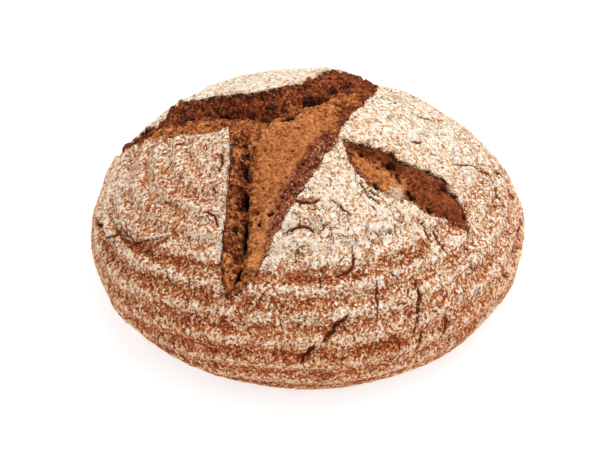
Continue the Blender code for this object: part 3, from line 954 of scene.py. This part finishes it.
# How far the crumb has browned, with deeper crumb drawn browner as painted shade, and the red rim.
baked = add(tree, "Math", {0: wall, 1: 1.2, 2: -0.05}, operation="MULTIPLY_ADD")
for pattern, share in ((coarse, 0.35), (depth, 0.24), (patch_wide, -0.40)):
    baked = add(tree, "Math", {0: pattern, 1: share, 2: baked}, operation="MULTIPLY_ADD")
baked = add(
    tree, "MapRange", {"Value": baked, "From Min": 0.0, "From Max": 0.6}, interpolation_type="SMOOTHSTEP"
)
rim_edge = add(tree, "Math", {0: patch_wide, 1: 0.30, 2: rim}, operation="MULTIPLY_ADD")
rim_edge = add(tree, "MapRange", {"Value": rim_edge, "From Min": 0.24, "From Max": 0.46})
rim_gate = add(tree, "MapRange", {"Value": rim, "From Min": 0.02, "From Max": 0.2})
rim_edge = add(tree, "Math", {0: rim_edge, 1: rim_gate}, operation="MULTIPLY")

# Pores, painted dark as the shade inside them, more of them where the crumb is coarse.
pore = add(tree, "MapRange", {"Value": pores, "From Min": 0.34, "From Max": 0.12})
open_pore = add(tree, "Math", {0: coarse, 1: 0.45, 2: pore_luck}, operation="MULTIPLY_ADD")
open_pore = add(tree, "MapRange", {"Value": open_pore, "From Min": 0.80, "From Max": 0.95})
pore = add(tree, "Math", {0: pore, 1: open_pore}, operation="MULTIPLY")
pore_shade = add(tree, "Math", {0: pore, 1: 0.8}, operation="MULTIPLY")

# Stray flour along the edges, in small clots and as a thin powder.
clot = add(tree, "MapRange", {"Value": grains, "From Min": 0.42, "From Max": 0.22})
stray = add(tree, "Math", {0: dust, 1: 0.22, 2: luck[1]}, operation="MULTIPLY_ADD")
stray = add(tree, "Math", {0: rim, 1: 0.24, 2: stray}, operation="MULTIPLY_ADD")
stray = add(tree, "MapRange", {"Value": stray, "From Min": 1.00, "From Max": 1.03})
stray = add(tree, "Math", {0: stray, 1: clot}, operation="MULTIPLY")
powder = add(tree, "Math", {0: dust, 1: 0.30, 2: fine}, operation="MULTIPLY_ADD")
powder = add(tree, "MapRange", {"Value": powder, "From Min": 0.76, "From Max": 1.06, "To Max": 0.8})
# Near black where holes and bubbles gape, as painted shade, and on the burnt crest.
hole_shade_and_burn = add(tree, "Math", {0: hole, 1: 0.92}, operation="MULTIPLY")
crumb_colour = tan
for share, colour in (
    (baked, brown), (rim_edge, reddish), (pore_shade, "#35160a"), (stray, "#dcbd9c"), (powder, "#dcbfa0"),
    (hole_shade_and_burn, "#1b140b"),
):
    crumb_colour = add(tree, "Mix", {0: share, 6: crumb_colour, 7: colour}, out=2, data_type="RGBA")
tree.links.new(crumb_colour, shader.inputs["Base Color"])
relief = add(tree, "Math", {0: grains, 1: -0.9, 2: 1.0}, operation="MULTIPLY_ADD")
for pattern, height in ((fine, 1.0), (pore, -1.6)):
    relief = add(tree, "Math", {0: pattern, 1: height, 2: relief}, operation="MULTIPLY_ADD")
bump = add(tree, "Bump", {"Height": relief, "Strength": 1.0, "Distance": 0.0009})
tree.links.new(bump, shader.inputs["Normal"])
for name, outline in (("torn_crumb_cross", cross_outline), ("torn_crumb_slit", slit_outline)):
    crumb = crumb_piece(name, outline)
    crumb.data.materials.append(crumb_material)
    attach(crumb, "root")
    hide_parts("loaf")

# Loose flour and bran: coarse rye flour rolls off the basket's cloth in clots of under a millimetre, with
# flakes of bran among it. They lie on the crust where they fell, most of them on the flaps.


def scattered(name, grain, spots, normals, sizes, flatness, seed):
    """Copies of one small shape, each turned and sized its own way, joined in one mesh."""
    turn = np.random.default_rng(seed)
    across = np.cross(normals, turn.normal(size=normals.shape))
    across /= np.linalg.norm(across, axis=1)[:, None]
    third = np.cross(normals, across)
    base = coordinates(grain)
    longer = turn.uniform(0.8, 1.5, len(spots))[:, None, None]
    local = base[None] * sizes[:, None, None]
    points = local[..., 0:1] * across[:, None] * longer + local[..., 1:2] * third[:, None]
    points = points + local[..., 2:3] * normals[:, None] * flatness + spots[:, None]
    corners = np.array([list(face.vertices) for face in grain.polygons])
    faces = corners[None] + len(base) * np.arange(len(spots))[:, None, None]
    mesh = bpy.data.meshes.new(name)
    mesh.from_pydata(points.reshape(-1, 3).tolist(), [], faces.reshape(-1, 3).tolist())
    mesh.shade_smooth()
    return put(name, mesh)


grain_shape = bmesh.new()
bmesh.ops.create_icosphere(grain_shape, subdivisions=1, radius=0.5)
for vertex in grain_shape.verts:
    vertex.co *= 1 + 0.3 * noise.noise(vertex.co * 3)
grain_mesh = bpy.data.meshes.new("grain")
grain_shape.to_mesh(grain_mesh)
grain_shape.free()
crust_normals = np.empty(len(crust_mesh.vertices) * 3)
crust_mesh.vertex_normals.foreach_get("vector", crust_normals)
crust_normals = crust_normals.reshape(-1, 3)[:upper_count]
crust_points = coordinates(crust_mesh)[:upper_count]
FLOUR_GRAINS = 7000
BRAN_FLAKES = 2600
LOWEST_GRAIN = 170  # along the crust from the crown: the flour lower down was rubbed off
FLOUR_TINTS = 400.0  # in each metre
BRAN_TINTS = 300.0

# Rye flour is a dry cream powder. Bran is the husk of the grain, in thin brown flakes that shine a little.
powdery, tree, shader = material_of("rye_flour_clot", {"Roughness": 0.95, "Specular IOR Level": 0.2})
tone = add(tree, "TexNoise", {"Vector": add(tree, "TexCoord", {}, out="Object"), "Scale": FLOUR_TINTS})
cream = add(tree, "Mix", {0: tone, 6: "#d9bd99", 7: "#fff3e0"}, out=2, data_type="RGBA")
tree.links.new(cream, shader.inputs["Base Color"])
bran_skin, tree, shader = material_of("wheat_bran", {"Roughness": 0.7})
tone = add(tree, "TexNoise", {"Vector": add(tree, "TexCoord", {}, out="Object"), "Scale": BRAN_TINTS})
husk = add(tree, "Mix", {0: tone, 6: "#4f301b", 7: "#9c6d42"}, out=2, data_type="RGBA")
tree.links.new(husk, shader.inputs["Base Color"])
holding = np.where(opened | (along > LOWEST_GRAIN), 0, np.clip(flour, 0.1, 1) ** 2)
for name, count, low, high, flatness, skin, seed in (
    ("flour_clots", FLOUR_GRAINS, 0.35, 0.85, 0.7, powdery, 3),
    ("bran_flakes", BRAN_FLAKES, 0.5, 1.1, 0.25, bran_skin, 5),
):
    fall = np.random.default_rng(seed)
    picked = fall.choice(upper_count, count, replace=False, p=holding / holding.sum())
    sizes = fall.uniform(low, high, count) * MM
    slide = fall.normal(0, 0.25 * MM, (count, 3))
    seat = crust_points[picked] + slide + crust_normals[picked] * (0.1 * MM)
    piece = scattered(name, grain_mesh, seat, crust_normals[picked], sizes, flatness, seed)
    piece.data.materials.append(skin)
    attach(piece, "root")

# The sweep, the lights and the camera: white paper on a table, under a large soft box a little behind the
# loaf, with white card all round. The camera stands in front and looks down on the loaf.

sweep_shape = bmesh.new()
bmesh.ops.create_grid(sweep_shape, x_segments=1, y_segments=1, size=6)
sweep_mesh = bpy.data.meshes.new("paper_sweep")
sweep_shape.to_mesh(sweep_mesh)
sweep_shape.free()
sweep = put("paper_sweep", sweep_mesh)
# Matte white paper, which scatters light through itself, so it glows a little.
paper = material_of("matte_white_paper", {
    "Base Color": paint("#b3b3b3"),
    "Roughness": 1.0,
    "Specular IOR Level": 0.0,
    "Emission Color": paint("#ffffff"),
    "Emission Strength": 0.70,
})[0]
sweep_mesh.materials.append(paper)

card = bpy.data.worlds.new("white_card")
card.use_nodes = True
card.node_tree.nodes["Background"].inputs["Color"].default_value = paint("#ffffff")
card.node_tree.nodes["Background"].inputs["Strength"].default_value = 0.85
bpy.context.scene.world = card

middle = Vector((0, 0, 0.045))
for name, size, power, spot in (
    ("soft_box_above", 1.2, 18, (0.35, 0.45, 1.5)),
    ("soft_box_right", 0.8, 3, (1.2, -0.6, 0.9)),
):
    lamp = bpy.data.lights.new(name, "AREA")
    lamp.size = size
    lamp.energy = power
    lamp_object = put(name, lamp)
    lamp_object.location = spot
    lamp_object.rotation_euler = (middle - Vector(spot)).to_track_quat("-Z", "Y").to_euler()

CAMERA_DISTANCE = 1.0
CAMERA_ELEVATION = math.radians(38)
LENS = 104.3
AIM = Vector((-0.0036, -0.0092, 0.0332))  # a little low and left of the loaf's middle, which frames it high
lens = bpy.data.cameras.new("camera")
lens.lens = LENS
camera = put("camera", lens)
back_and_up = Vector((0, -math.cos(CAMERA_ELEVATION), math.sin(CAMERA_ELEVATION)))
camera.location = middle + CAMERA_DISTANCE * back_and_up
camera.rotation_euler = (AIM - camera.location).to_track_quat("-Z", "Y").to_euler()
bpy.context.scene.camera = camera
bpy.context.scene.view_settings.view_transform = "Standard"
